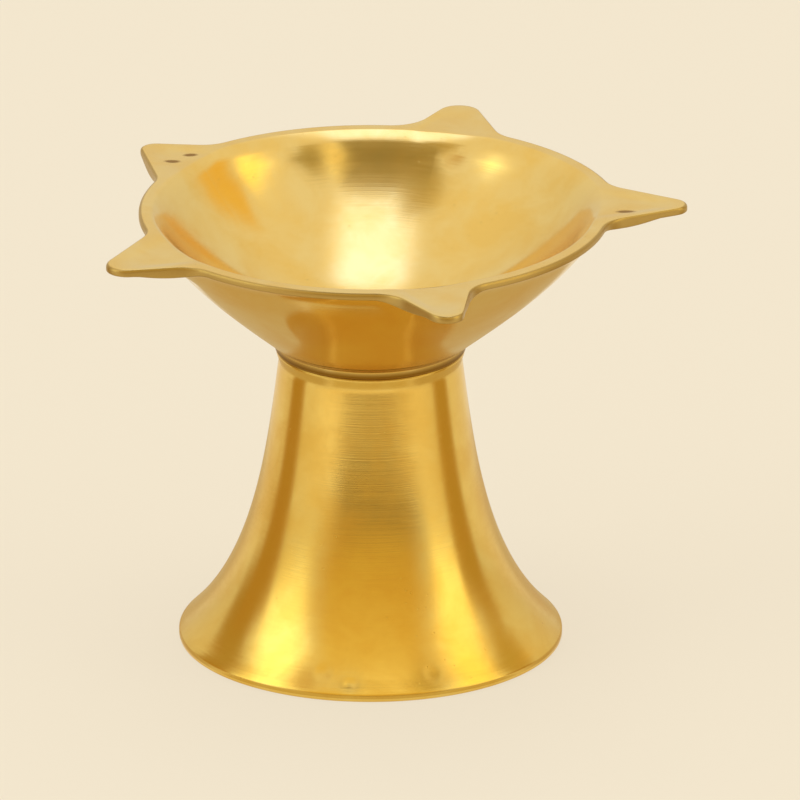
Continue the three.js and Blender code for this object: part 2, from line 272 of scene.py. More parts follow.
def turned_brass(name, pale, deep, dull_and_shade, filed, gloss, rings_per_mm, ring_depth, anisotropy,
                 shaded_slots=()):
    """Turned and buffed brass: two slow tones, dull pits, a seam band of grime and painted shade,
    painted shade in small slots and on the lip and rim sides, rings and uneven gloss.
    """
    material = bpy.data.materials.new(name)
    material.use_nodes = True
    tree = material.node_tree
    surface = tree.nodes["Principled BSDF"]
    surface.inputs["Metallic"].default_value = 1.0
    surface.inputs["Anisotropic"].default_value = anisotropy
    surface.inputs["Anisotropic Rotation"].default_value = 0.25
    marks = place(tree, "ShaderNodeGroup", node_tree=turning_marks)
    marks.inputs["Rings per mm"].default_value = rings_per_mm
    wear_and_seam_shade = place(tree, "ShaderNodeGroup", node_tree=tarnish_and_seam_shade)
    wear_and_seam_shade.inputs["Seam height mm"].default_value = seam_height + 0.4
    wear_and_seam_shade.inputs["Seam width mm"].default_value = 0.7
    tones = place(tree, "ShaderNodeMix", data_type="RGBA")
    tree.links.new(wear_and_seam_shade.outputs["Patches"], tones.inputs[0])
    tones.inputs[6].default_value = (*pale, 1.0)
    tones.inputs[7].default_value = (*deep, 1.0)
    dulled_and_shaded = place(tree, "ShaderNodeMix", data_type="RGBA")
    # Painted shade: the dark band at the seam is partly grime and partly the shade in the gap
    # between the bowl and the pedestal
    seam = sum_of(tree, "POWER", wear_and_seam_shade.outputs["Seam"], 0.5)
    dull_and_shade_share = sum_of(tree, "MAXIMUM", seam, sum_of(tree, "MULTIPLY", wear_and_seam_shade.outputs["Pits"], 0.35))
    # Painted shade: small slots at the lips' roots take the dark colour, standing in for the shade
    # in small hollows there
    dull_and_shade_share = sum_of(tree, "MAXIMUM", dull_and_shade_share, painted_slot_shade(tree, shaded_slots))
    tree.links.new(dull_and_shade_share, dulled_and_shaded.inputs[0])
    tree.links.new(tones.outputs[2], dulled_and_shaded.inputs[6])
    dulled_and_shaded.inputs[7].default_value = (*dull_and_shade, 1.0)
    # Painted shade: the outer edge all round the rim and lips, and the lips' undersides beyond the
    # rim, get a darker brass colour for the darker surroundings they face
    edge_shade_share = place(tree, "ShaderNodeAttribute", attribute_name="filed").outputs["Fac"]
    edge_shaded = place(tree, "ShaderNodeMix", data_type="RGBA")
    tree.links.new(edge_shade_share, edge_shaded.inputs[0])
    tree.links.new(dulled_and_shaded.outputs[2], edge_shaded.inputs[6])
    edge_shaded.inputs[7].default_value = (*filed, 1.0)
    tree.links.new(edge_shaded.outputs[2], surface.inputs["Base Color"])
    dull_and_shade_share = sum_of(tree, "MAXIMUM", dull_and_shade_share, edge_shade_share)
    unevenness = sum_of(tree, "ADD", sum_of(tree, "MULTIPLY", marks.outputs["Brushing"], 0.6),
                        sum_of(tree, "MULTIPLY", wear_and_seam_shade.outputs["Patches"], 0.4))
    rough = spread(tree, unevenness, 0.2, 0.8, gloss - 0.05, gloss + 0.07)
    rough = sum_of(tree, "ADD", rough, sum_of(tree, "MULTIPLY", dull_and_shade_share, 0.25))
    tree.links.new(rough, surface.inputs["Roughness"])
    ring_bump = place(tree, "ShaderNodeBump", {
        "Height": marks.outputs["Height"], "Strength": ring_depth, "Distance": 0.00003})
    pit_bump = place(tree, "ShaderNodeBump", {
        "Height": wear_and_seam_shade.outputs["Pits"], "Strength": 0.3, "Distance": 0.00004,
        "Normal": ring_bump.outputs[0]}, invert=True)
    tree.links.new(pit_bump.outputs[0], surface.inputs["Normal"])
    return material


pedestal_brass = turned_brass(
    "pedestal_brass", pale=(0.84, 0.60, 0.165), deep=(0.80, 0.52, 0.11), dull_and_shade=(0.30, 0.15, 0.015),
    filed=(0.50, 0.34, 0.11), gloss=0.2, rings_per_mm=4.0, ring_depth=0.35, anisotropy=0.6,
)


def pedestal_profile():
    bevel_top = foot_band_height + foot_bevel
    flare_radius = foot_radius - foot_bevel
    width = flare_radius - neck_radius
    height = neck_height - bevel_top
    flare = bezier(
        (flare_radius, bevel_top),
        (flare_radius - 0.727 * width, bevel_top + 0.241 * height),
        (neck_radius + 0.132 * width, neck_height - 0.365 * height),
        (neck_radius, neck_height),
        90,
    )
    foot_inner = foot_radius - foot_ring_width
    inside = []
    for (r0, z0), (r1, z1) in zip(flare[::3], flare[3::3]):
        length = math.hypot(r1 - r0, z1 - z0)
        r = (r0 + r1) / 2 - pedestal_wall * (z1 - z0) / length
        z = (z0 + z1) / 2 + pedestal_wall * (r1 - r0) / length
        if r < foot_inner - 0.3 and bevel_top < z < ceiling - hollow_corner - 0.5:
            inside.insert(0, (r, z))
    profile = [(foot_inner, 0.0), (foot_radius, 0.0), (foot_radius, foot_band_height)] + flare
    profile += [(neck_radius + 0.05, 44.7), (pedestal_top_radius - 0.1, 45.2)]
    profile += [(pedestal_top_radius, 45.6), (pedestal_top_radius, seam_height)]
    profile += [(socket_radius, seam_height), (socket_radius, socket_bottom)]
    profile += [(screw_hole_radius, socket_bottom), (screw_hole_radius, ceiling)]
    corner = inside[0][0] - hollow_corner
    for i in range(7):
        angle = i / 6 * math.pi / 2
        profile.append((corner + hollow_corner * math.sin(angle),
                        ceiling - hollow_corner * (1 - math.cos(angle))))
    return profile + inside + [(foot_inner, 1.2)]


pedestal_shape = turn(pedestal_profile(), around)
soften(pedestal_shape, 0.22)
for centre, radius, depth in (
    ((-6.8, -25.2, 3.3), 1.7, 0.11), ((-3.1, -27.3, 2.2), 1.4, 0.1),
    ((8.9, -24.9, 3.0), 1.6, 0.08), ((-12.5, -22.0, 3.6), 1.4, 0.06),
):
    dent(pedestal_shape, centre, radius, depth)
add_piece("pedestal_casting", pedestal_shape, pedestal_brass, "base", "pedestal")


# Bowl: cast in one piece with its five wick lips, then turned inside and out. The lips are filed
# by hand, so each has its own reach and the rim between them isn't quite round.
rim_height = 68.0
collar_radius = 14.35
collar_height = 1.1
cove_radius = 16.0
cove_height = 2.5
rim_radius = 36.2
land_width = 2.2
rim_edge = 1.0
rim_fillet = 2.0
outer_rounding = 0.5
lower_rounding = 0.2
inner_rounding = 1.2
bowl_floor = seam_height + 4.0
lip_angles = [3.0, 72.2, 141.1, 212.3, 284.8]
lip_reaches = [47.5, 47.0, 43.9, 46.0, 47.0]
lip_tip_radii = [2.3, 3.1, 2.1, 3.1, 2.6]
lip_side_angles = [(23, 33), (34, 12), (34, 40), (31, 22), (19, 21)]
lip_root_fillet = 6.0
rim_out_of_round = [1.3, 0.2, -1.5, -0.4, -0.4]
lip_root_edge = 2.5
lip_tip_edge = 1.1
lip_taper_length = 7.0
lip_fillet = 5.0
channel_depth = 0.2
channel_border = 1.0
channel_slope = 5.0
boss_radius = 6.0
boss_bottom = 41.3
tapped_radius = 3.05
tapped_top = 48.0
bowl_columns = 480
lip_count = len(lip_angles)


def smooth(value):
    value = min(max(value, 0.0), 1.0)
    return value * value * (3 - 2 * value)


def mix(a, b, share):
    return a + (b - a) * share


def soft_lower(a, b, rounding):
    near = max(rounding - abs(a - b), 0.0) / rounding
    return min(a, b) - near * near * rounding / 4


def lip_side(lip, half, rim):
    """One side of a lip in plan: half a round tip, a straight side and a fillet into the rim."""
    tip = lip_tip_radii[lip]
    centre = lip_reaches[lip] - tip
    lean = math.radians(lip_side_angles[lip][half])
    c, s = math.cos(lean), math.sin(lean)
    from_axis = centre * s + tip
    across = from_axis + lip_root_fillet
    along = math.sqrt((rim + lip_root_fillet) ** 2 - across ** 2)
    x, y = s * across + c * along, c * across - s * along
    return {"rim": rim, "tip": tip, "centre": centre, "lean": lean, "from_axis": from_axis,
            "x": x, "y": y, "tip_angle": math.atan2(tip * c, centre + tip * s),
            "fillet_angle": math.atan2(y - lip_root_fillet * c, x - lip_root_fillet * s),
            "root_angle": math.atan2(y, x)}


def lip_outline(side, angle):
    """The edge of the plan at an angle from the middle of the lip."""
    c, s = math.cos(angle), math.sin(angle)
    if angle >= side["root_angle"]:
        return side["rim"]
    if angle <= side["tip_angle"]:
        return side["centre"] * c + math.sqrt(side["tip"] ** 2 - (side["centre"] * s) ** 2)
    if angle <= side["fillet_angle"]:
        return side["from_axis"] / math.sin(angle + side["lean"])
    along = side["x"] * c + side["y"] * s
    return along - math.sqrt(
        along ** 2 - side["x"] ** 2 - side["y"] ** 2 + lip_root_fillet ** 2)


lips = [
    (math.radians(lip_angles[i]),
     lip_side(i, 1, rim_radius + rim_out_of_round[i]),
     lip_side(i, 0, rim_radius + rim_out_of_round[i - 1]))
    for i in range(lip_count)
]


def plan_at(angle):
    """Edge of the plan at an angle, the turned rim there, and how far into a lip it is."""
    choices = []
    for middle, after, before in lips:
        away = math.atan2(math.sin(angle - middle), math.cos(angle - middle))
        choices.append((abs(away), away, after, before))
    nearness, away, after, before = min(choices, key=lambda choice: choice[0])
    side = after if away >= 0 else before
    across = min(max(away / side["root_angle"], -1.0), 1.0)
    rim = mix(before["rim"], after["rim"], smooth((across + 1) / 2))
    return lip_outline(side, nearness), rim, smooth(1.25 * (1 - abs(across)))


def height_on(points):
    """The height at any radius on a curve of points, carried on straight past its end."""
    radii = [r for r, z in points]

    def at(radius):
        i = min(max(bisect_right(radii, radius), 1), len(points) - 1)
        (r0, z0), (r1, z1) = points[i - 1], points[i]
        return z0 + (radius - r0) * (z1 - z0) / (r1 - r0)
    return at


cove_top = seam_height + cove_height
wall_height = rim_height - cove_top
wall_width = rim_radius - cove_radius
outside_at = height_on(bezier(
    (cove_radius, cove_top),
    (cove_radius + 0.345 * wall_width, cove_top + 0.28 * wall_height),
    (rim_radius - 0.22 * wall_width, cove_top + 0.63 * wall_height),
    (rim_radius, rim_height + 0.6),
    200,
))
inside_radius = rim_radius - land_width
inside_height = rim_height - bowl_floor
inside_at = height_on(bezier(
    (0.0, bowl_floor),
    (0.4 * inside_radius, bowl_floor),
    (0.8 * inside_radius, bowl_floor + 0.5 * inside_height),
    (inside_radius, rim_height + 0.6),
    200,
))


def true_radius(r, rim):
    share = min(max((r - cove_radius) / wall_width, 0.0), 1.0)
    return r - (rim - rim_radius) * share


def under(r, rim, lipness):
    out = min(max((r - rim_radius) / lip_taper_length, 0), 1)
    thickness = mix(lip_root_edge, lip_tip_edge, out)
    plate = rim_height - mix(rim_edge, thickness, lipness)
    fillet = mix(rim_fillet, lip_fillet, lipness)
    return soft_lower(outside_at(true_radius(r, rim)), plate, fillet)


def over(r, edge, rim, lipness):
    deep = smooth((edge - r - channel_border) / channel_slope)
    top = rim_height - channel_depth * lipness * deep
    return soft_lower(inside_at(true_radius(r, rim)), top, inner_rounding)


# The stations of the bowl's profile, from the tapped hole round the outside to the floor: a
# fixed point, or a share of the way across one of the surfaces that the lips draw out
stations = [("fixed", r, z) for r, z in (
    (0.0, tapped_top + tapped_radius / 2), (tapped_radius, tapped_top),
    (tapped_radius, boss_bottom + 0.4), (tapped_radius + 0.4, boss_bottom),
    (boss_radius - 0.3, boss_bottom), (boss_radius, boss_bottom + 0.3),
    (boss_radius, seam_height + 0.02), (collar_radius - 0.25, seam_height + 0.02),
    (collar_radius, seam_height + 0.27),
)]
stations += [("fixed", r, z) for r, z in bezier(
    (collar_radius, seam_height + collar_height),
    (collar_radius + 0.1, seam_height + 0.6 * cove_height),
    (cove_radius - 0.6, cove_top - 0.6),
    (cove_radius, cove_top), 8)[:-1]]
stations += [("wall", i / 20, 0.0) for i in range(20)]
stations += [("plate", i / 22, 0.0) for i in range(22)]
quarter = [(math.sin(i * math.pi / 8), math.cos(i * math.pi / 8)) for i in range(5)]
stations += [("low_edge", out, down) for out, down in quarter]
stations += [("high_edge", out, up) for up, out in quarter[:4]]
stations += [("land", i / 28, 0.0) for i in range(28)]
stations += [("inside", (i / 44) ** 0.8, 0.0) for i in range(44)]
stations += [("fixed", 0.0, bowl_floor)]


def station_place(station, edge, rim, lipness):
    kind, a, b = station
    if kind == "fixed":
        return a, b
    root = rim - 2.5
    flat = edge - outer_rounding
    inner = rim - land_width
    if kind == "wall":
        r = mix(cove_radius, root, a)
        return r, under(r, rim, lipness)
    if kind == "plate":
        r = mix(root, edge - lower_rounding, a)
        return r, under(r, rim, lipness)
    if kind == "low_edge":
        low = under(edge - lower_rounding, rim, lipness)
        return edge - lower_rounding * (1 - a), low + lower_rounding * (1 - b)
    if kind == "high_edge":
        high = over(flat, edge, rim, lipness)
        return edge - outer_rounding * (1 - a), high - outer_rounding * (1 - b)
    r = mix(flat, inner, a) if kind == "land" else inner * (1 - a)
    return r, over(r, edge, rim, lipness)


def column_angle(column):
    """Even steps round the lathe become steps that crowd at each lip's tip."""
    share = column / bowl_columns * lip_count
    lip = math.floor(share + 0.5)
    off = (share - lip) * 2
    middle = lip_angles[lip % lip_count] + 360 * (lip // lip_count)
    ahead = lip_angles[(lip + 1) % lip_count] + 360 * ((lip + 1) // lip_count)
    behind = lip_angles[(lip - 1) % lip_count] + 360 * ((lip - 1) // lip_count)
    half = (ahead - middle if off > 0 else middle - behind) / 2
    return math.radians(middle + math.copysign(abs(off) ** 1.6, off) * half)


def bowl_mesh():
    blank = [station_place(s, rim_radius, rim_radius, 0.0) for s in stations]
    shape = turn(blank, bowl_columns, closed=False)
    station = shape.verts.layers.int["station"]
    filed = shape.verts.layers.float.new("filed")
    plans = []
    for column in range(bowl_columns):
        angle = column_angle(column)
        plans.append((angle, plan_at(angle)))
    # The turned blank is drawn out into the lips, station by station
    for vert in shape.verts:
        flat = vert.co - lamp_axis
        turned = math.atan2(flat.y, flat.x) / (2 * math.pi)
        angle, plan = plans[round(turned * bowl_columns) % bowl_columns]
        r, z = station_place(stations[vert[station]], *plan)
        vert.co = lamp_axis + Vector((r * math.cos(angle), r * math.sin(angle), z)) * mm
        kind = stations[vert[station]][0]
        # Painted shade: the edge stations and the lips' undersides beyond the rim carry the mask
        # for the darker brass
        if kind.endswith("_edge"):
            vert[filed] = 1.0
        elif kind == "plate":
            vert[filed] = smooth((r - plan[1] + 1.0) / 2.0)
    bmesh.ops.recalc_face_normals(shape, faces=shape.faces[:])
    shape.normal_update()
    return shape


bowl_brass = turned_brass(
    "bowl_brass", pale=(0.85, 0.64, 0.25), deep=(0.83, 0.57, 0.165), dull_and_shade=(0.30, 0.15, 0.015),
    filed=(0.50, 0.34, 0.11), gloss=0.15, rings_per_mm=3.0, ring_depth=0.2, anisotropy=0.5,
    # Painted shade in small hollows at the roots of the back-left and right lips
    shaded_slots=(
        ((-29.8, 20.8, rim_height), 5, 2.7, 1.5), ((-27.1, 23.6, rim_height), 8, 2.5, 1.4),
        ((38.2, -0.6, rim_height), 0, 3.3, 1.4),
    ),
)
bowl_shape = bowl_mesh()
add_piece("bowl_casting", bowl_shape, bowl_brass, "oil_bowl", "bowl")


# Fixing screw: a zinc-plated M6 hexagon-head screw, put in from inside the hollow foot. It
# draws the bowl's boss down into the pedestal's socket.
shank_radius = 2.95
thread_root_radius = 2.42
thread_pitch = 1.0
screw_length = 12.0
head_across_flats = 10.0
head_height = 4.0
chamfer_angle = math.radians(30)
plain_washer_thickness = 1.6
spring_washer_thickness = 1.6
spring_washer_top = ceiling - plain_washer_thickness
head_top = spring_washer_top - spring_washer_thickness
head_bottom = head_top - head_height
screw_tip = head_top + screw_length


def cut_off(shape, point, outward):
    """Takes away what lies beyond a plane and closes the cut."""
    cut = bmesh.ops.bisect_plane(shape, geom=shape.verts[:] + shape.edges[:] + shape.faces[:],
                                 dist=1e-7, plane_co=point, plane_no=outward, clear_outer=True)
    open_edges = [e for e in cut["geom_cut"] if isinstance(e, bmesh.types.BMEdge)]
    bmesh.ops.holes_fill(shape, edges=open_edges, sides=0)


def screw_thread():
    steps = 48
    shape = bmesh.new()
    corners = []
    for turn_number in range(-1, int(screw_length / thread_pitch) + 2):
        foot = head_top - 0.5 + turn_number * thread_pitch
        for share, r in ((0.0, thread_root_radius), (0.125, thread_root_radius),
                         (0.44, shank_radius), (0.56, shank_radius)):
            corners.append((r, foot + share * thread_pitch))
    made = [shape.verts.new(lamp_axis + Vector((r, 0.0, z)) * mm) for r, z in corners]
    for pair in zip(made, made[1:]):
        shape.edges.new(pair)
    bmesh.ops.spin(shape, geom=shape.verts[:] + shape.edges[:], cent=lamp_axis, axis=(0, 0, 1),
                   dvec=(0, 0, thread_pitch * mm / steps), angle=2 * math.pi, steps=steps,
                   use_merge=False)
    bmesh.ops.remove_doubles(shape, verts=shape.verts[:], dist=1e-6)
    cut_off(shape, lamp_axis + Vector((0, 0, screw_tip * mm)), (0, 0, 1))
    cut_off(shape, lamp_axis + Vector((0, 0, (head_top - 0.3) * mm)), (0, 0, -1))
    # The tip is chamfered as the thread starts
    for vert in shape.verts:
        flat = vert.co - lamp_axis
        allowed = (thread_root_radius - 0.15 + (screw_tip - flat.z / mm)) * mm
        radius = math.hypot(flat.x, flat.y)
        if radius > allowed:
            vert.co.x = lamp_axis.x + flat.x * allowed / radius
            vert.co.y = lamp_axis.y + flat.y * allowed / radius
    bmesh.ops.recalc_face_normals(shape, faces=shape.faces[:])
    return shape


def hexagon_head(shape):
    corner_radius = head_across_flats / 2 / math.cos(math.pi / 6)
    middle = lamp_axis + Vector((0, 0, (head_bottom + head_top) / 2 * mm))
    head = bmesh.ops.create_cone(
        shape, cap_ends=True, segments=6, radius1=corner_radius * mm, radius2=corner_radius * mm,
        depth=head_height * mm, matrix=Matrix.Translation(middle))
    head_verts = set(head["verts"])
    # The corners of the outer face are turned off in a chamfer
    for k in range(36):
        angle = 2 * math.pi * (k + 0.5) / 36
        out = Vector((math.cos(angle), math.sin(angle), 0.0))
        point = lamp_axis + out * head_across_flats / 2 * 0.95 * mm
        point.z = head_bottom * mm
        slant = out * math.sin(chamfer_angle) - Vector((0, 0, math.cos(chamfer_angle)))
        mine = [v for v in shape.verts if v in head_verts]
        edges = {e for v in mine for e in v.link_edges}
        faces = {f for v in mine for f in v.link_faces}
        cut = bmesh.ops.bisect_plane(
            shape, geom=mine + list(edges) + list(faces), dist=1e-8, plane_co=point,
            plane_no=slant, clear_outer=True)
        fresh = [e for e in cut["geom_cut"] if isinstance(e, bmesh.types.BMEdge)]
        bmesh.ops.holes_fill(shape, edges=fresh, sides=0)
        head_verts = {v for v in head_verts if v.is_valid}
        head_verts |= {v for v in cut["geom_cut"] if isinstance(v, bmesh.types.BMVert)}


def zinc_plate(name, pale, blue, gloss):
    """Bright zinc on steel: cool mottled sheen with dull smears."""
    material = bpy.data.materials.new(name)
    material.use_nodes = True
    tree = material.node_tree
    surface = tree.nodes["Principled BSDF"]
    surface.inputs["Metallic"].default_value = 1.0
    wear_and_seam_shade = place(tree, "ShaderNodeGroup", node_tree=tarnish_and_seam_shade)
    wear_and_seam_shade.inputs["Patch size mm"].default_value = 2.5
    wear_and_seam_shade.inputs["Pit size mm"].default_value = 0.25
    wear_and_seam_shade.inputs["Seam height mm"].default_value = head_bottom
    marks = place(tree, "ShaderNodeGroup", node_tree=turning_marks)
    marks.inputs["Rings per mm"].default_value = 7.0
    tones = place(tree, "ShaderNodeMix", data_type="RGBA")
    tree.links.new(wear_and_seam_shade.outputs["Patches"], tones.inputs[0])
    tones.inputs[6].default_value = (*pale, 1.0)
    tones.inputs[7].default_value = (*blue, 1.0)
    tree.links.new(tones.outputs[2], surface.inputs["Base Color"])
    sheen = spread(tree, wear_and_seam_shade.outputs["Patches"], 0.0, 1.0, gloss, gloss + 0.15)
    rough = sum_of(tree, "ADD", sheen, sum_of(tree, "MULTIPLY", wear_and_seam_shade.outputs["Pits"], 0.3))
    tree.links.new(rough, surface.inputs["Roughness"])
    bump = place(tree, "ShaderNodeBump", {
        "Height": marks.outputs["Height"], "Strength": 0.3, "Distance": 0.00002})
    tree.links.new(bump.outputs[0], surface.inputs["Normal"])
    return material


screw_zinc = zinc_plate("screw_zinc", pale=(0.66, 0.66, 0.65), blue=(0.52, 0.55, 0.60), gloss=0.28)
screw_shape = screw_thread()
hexagon_head(screw_shape)
bmesh.ops.recalc_face_normals(screw_shape, faces=screw_shape.faces[:])
screw = add_piece("hexagon_screw", screw_shape, screw_zinc, "screw", "fixing_screw")
for polygon in screw.data.polygons:
    polygon.use_smooth = False


# Spring washer: a split ring of square steel wire, pressed flat under the screw's head, which
# keeps the screw from working loose.
spring_washer_radius = 5.9
spring_washer_bore = 3.05
spring_washer_slit = 14.0
spring_washer_slant = 8.0

spring_shape = turn(
    [(spring_washer_bore, head_top), (spring_washer_radius, head_top),
     (spring_washer_radius, spring_washer_top), (spring_washer_bore, spring_washer_top)],
    96, angle=math.radians(360 - spring_washer_slit), start=math.radians(spring_washer_slit / 2))
open_ends = [e for e in spring_shape.edges if e.is_boundary]
bmesh.ops.holes_fill(spring_shape, edges=open_ends, sides=0)
bmesh.ops.recalc_face_normals(spring_shape, faces=spring_shape.faces[:])
soften(spring_shape, 0.18)
for vert in spring_shape.verts:
    share = (vert.co.z / mm - head_top) / spring_washer_thickness
    vert.co = lamp_axis + Matrix.Rotation(math.radians(spring_washer_slant) * share, 3, "Z") @ (
        vert.co - lamp_axis)
spring_zinc = zinc_plate("spring_washer_zinc", pale=(0.60, 0.60, 0.58), blue=(0.44, 0.46, 0.49),
                         gloss=0.34)
add_piece("split_spring_washer", spring_shape, spring_zinc, "base", "spring_washer")


# Plain washer: a punched steel disc that spreads the load on the brass inside the pedestal. The
# punch leaves its lower edge rounded and its upper edge sharp.
plain_washer_radius = 6.0
plain_washer_bore = 3.2

disc_shape = turn(
    [(plain_washer_bore + 0.15, spring_washer_top),
     (plain_washer_radius - 0.3, spring_washer_top),
     (plain_washer_radius - 0.1, spring_washer_top + 0.08),
     (plain_washer_radius, spring_washer_top + 0.3),
     (plain_washer_radius, ceiling), (plain_washer_bore, ceiling),
     (plain_washer_bore, spring_washer_top + 0.15)], 96)
soften(disc_shape, 0.05, segments=2)
disc_zinc = zinc_plate("plain_washer_zinc", pale=(0.68, 0.68, 0.66), blue=(0.55, 0.57, 0.60),
                       gloss=0.3)
add_piece("punched_plain_washer", disc_shape, disc_zinc, "base", "plain_washer")


# Stage: a plain pale floor under an even pale sky, two soft boxes at the sides and one overhead,
# and dark, warm and bright cards that only the brass reflects, set for the photograph's view.
def direction(azimuth, elevation):
    """Degrees round from the camera's side, to the right, and degrees above level."""
    a, e = math.radians(azimuth), math.radians(elevation)
    return Vector((math.sin(a) * math.cos(e), -math.cos(a) * math.cos(e), math.sin(e)))


floor_shape = bmesh.new()
bmesh.ops.create_grid(floor_shape, x_segments=1, y_segments=1, size=4.0)
floor_mesh = bpy.data.meshes.new("floor")
floor_shape.to_mesh(floor_mesh)
floor_shape.free()
floor = bpy.data.objects.new("floor", floor_mesh)
bpy.context.scene.collection.objects.link(floor)
floor_paint = bpy.data.materials.new("floor_paint")
floor_paint.use_nodes = True
paint_tree = floor_paint.node_tree
floor_surface = paint_tree.nodes["Principled BSDF"]
floor_surface.inputs["Base Color"].default_value = (0.84, 0.755, 0.60, 1.0)
floor_surface.inputs["Roughness"].default_value = 0.9
floor_surface.inputs["Specular IOR Level"].default_value = 0.0
# The camera and the brass see the pale background mostly at one level, over the soft shadow
seen = place(paint_tree, "ShaderNodeLightPath")
seen_direct = sum_of(paint_tree, "MAXIMUM", seen.outputs["Is Camera Ray"], sum_of(
    paint_tree, "MAXIMUM", seen.outputs["Is Glossy Ray"], seen.outputs["Is Transmission Ray"]))
even_glow = place(paint_tree, "ShaderNodeEmission", {
    "Color": (0.856, 0.768, 0.617, 1.0), "Strength": 1.0})
even_floor = place(paint_tree, "ShaderNodeMixShader")
paint_tree.links.new(sum_of(paint_tree, "MULTIPLY", seen_direct, 0.8), even_floor.inputs[0])
paint_tree.links.new(floor_surface.outputs[0], even_floor.inputs[1])
paint_tree.links.new(even_glow.outputs[0], even_floor.inputs[2])
paint_tree.links.new(even_floor.outputs[0], paint_tree.nodes["Material Output"].inputs[0])
floor_mesh.materials.append(floor_paint)


eye_height = 0.035
glow_height = 0.04
above_floor = 0.0005


def fade_at(across, up, border, end_border):
    """How much of a card shows at a place on it, from -0.5 to 0.5 each way, inside its borders."""
    return smooth((0.5 - abs(across)) / border) * smooth((0.5 - abs(up)) / end_border)


def reflected(name, shape, axis, start, end, low, high):
    """Shows a shape only in the brass, shading from low to high along one axis."""
    mesh = bpy.data.meshes.new(name)
    shape.to_mesh(mesh)
    shape.free()
    made = bpy.data.objects.new(name, mesh)
    bpy.context.scene.collection.objects.link(made)
    paint = bpy.data.materials.new(name + "_paint")
    paint.use_nodes = True
    tree = paint.node_tree
    tree.nodes.clear()
    spot = place(tree, "ShaderNodeTexCoord")
    along = place(tree, "ShaderNodeSeparateXYZ", {"Vector": spot.outputs["Object"]})
    shade = place(tree, "ShaderNodeMix", data_type="RGBA")
    tree.links.new(spread(tree, along.outputs[axis], start, end), shade.inputs[0])
    shade.inputs[6].default_value = (*low, 1.0)
    shade.inputs[7].default_value = (*high, 1.0)
    glow = place(tree, "ShaderNodeEmission", {"Color": shade.outputs[2], "Strength": 1.0})
    faded = place(tree, "ShaderNodeMixShader")
    fade = place(tree, "ShaderNodeAttribute", attribute_name="fade")
    tree.links.new(fade.outputs["Fac"], faded.inputs[0])
    tree.links.new(place(tree, "ShaderNodeBsdfTransparent").outputs[0], faded.inputs[1])
    tree.links.new(glow.outputs[0], faded.inputs[2])
    out = place(tree, "ShaderNodeOutputMaterial")
    tree.links.new(faded.outputs[0], out.inputs[0])
    mesh.materials.append(paint)
    made.visible_camera = False
    made.visible_shadow = False
    made.visible_diffuse = False


def card(name, azimuths, elevations, distance, low, high, border=0.2, end_border=0.2):
    """A curved card round the lamp, between two azimuths and two elevations, in degrees."""
    shape = bmesh.new()
    fade = shape.verts.layers.float.new("fade")
    bmesh.ops.create_grid(shape, x_segments=48, y_segments=24, size=0.5)
    for vert in shape.verts:
        vert[fade] = fade_at(vert.co.x, vert.co.y, border, end_border)
        azimuth = mix(azimuths[0], azimuths[1], vert.co.x + 0.5)
        elevation = mix(elevations[0], elevations[1], vert.co.y + 0.5)
        vert.co = (lamp_axis + Vector((0, 0, eye_height))
                   + direction(azimuth, elevation) * distance)
        vert.co.z = max(vert.co.z, above_floor)
    start, end = (eye_height + distance * math.sin(math.radians(e)) for e in elevations)
    reflected(name, shape, 2, start, end, low, high)


def flat_card(name, x_range, y_range, z, low, high, border=0.06):
    """A level card over the lamp, placed from its axis in metres."""
    shape = bmesh.new()
    fade = shape.verts.layers.float.new("fade")
    bmesh.ops.create_grid(shape, x_segments=32, y_segments=32, size=0.5)
    for vert in shape.verts:
        vert[fade] = fade_at(vert.co.x, vert.co.y, border, border)
        vert.co = lamp_axis + Vector((mix(*x_range, vert.co.x + 0.5),
                                      mix(*y_range, vert.co.y + 0.5), z))
    start, end = (lamp_axis.y + y for y in y_range)
    reflected(name, shape, 1, start, end, low, high)


card("front_low_card", (-46, 60), (-3, 5), 1.0, (0.13, 0.09, 0.03), (0.24, 0.15, 0.04))
card("front_card", (-56, 56), (3, 61), 1.02, (0.66, 0.42, 0.06), (0.98, 0.79, 0.34),
     end_border=0.06)
card("front_top_card", (-18, 52), (56, 76), 0.9, (1.25, 1.12, 0.70), (1.25, 1.12, 0.70))
flat_card("overhead_card", (-0.042, 0.025), (-0.090, 0.003), 0.200,
          (0.15, 0.11, 0.04), (0.46, 0.36, 0.16))
flat_card("overhead_gap", (0.023, 0.040), (-0.084, -0.026), 0.201,
          (1.5, 1.3, 0.75), (1.5, 1.3, 0.75))
flat_card("overhead_corner_card", (-0.045, -0.012), (-0.010, 0.030), 0.199,
          (0.50, 0.39, 0.16), (0.60, 0.47, 0.20), 0.2)
flat_card("overhead_side_card", (0.039, 0.075), (-0.084, -0.012), 0.200,
          (0.30, 0.22, 0.08), (0.46, 0.36, 0.14))
card("left_near_card", (-108, -80), (-34, 12), 0.12, (0.48, 0.28, 0.05), (0.52, 0.31, 0.07))
card("left_far_card", (-120, -92), (-12, 44), 0.16, (0.46, 0.28, 0.06), (0.52, 0.36, 0.11))
card("right_near_card", (75, 104), (-34, 10), 0.12, (0.50, 0.31, 0.06), (0.54, 0.34, 0.08))
card("right_far_card", (90, 116), (8, 50), 0.16, (0.62, 0.44, 0.13), (0.58, 0.42, 0.13))
card("right_warm_card", (104, 132), (24, 48), 0.95, (0.98, 0.66, 0.16), (0.98, 0.66, 0.16), 0.3)
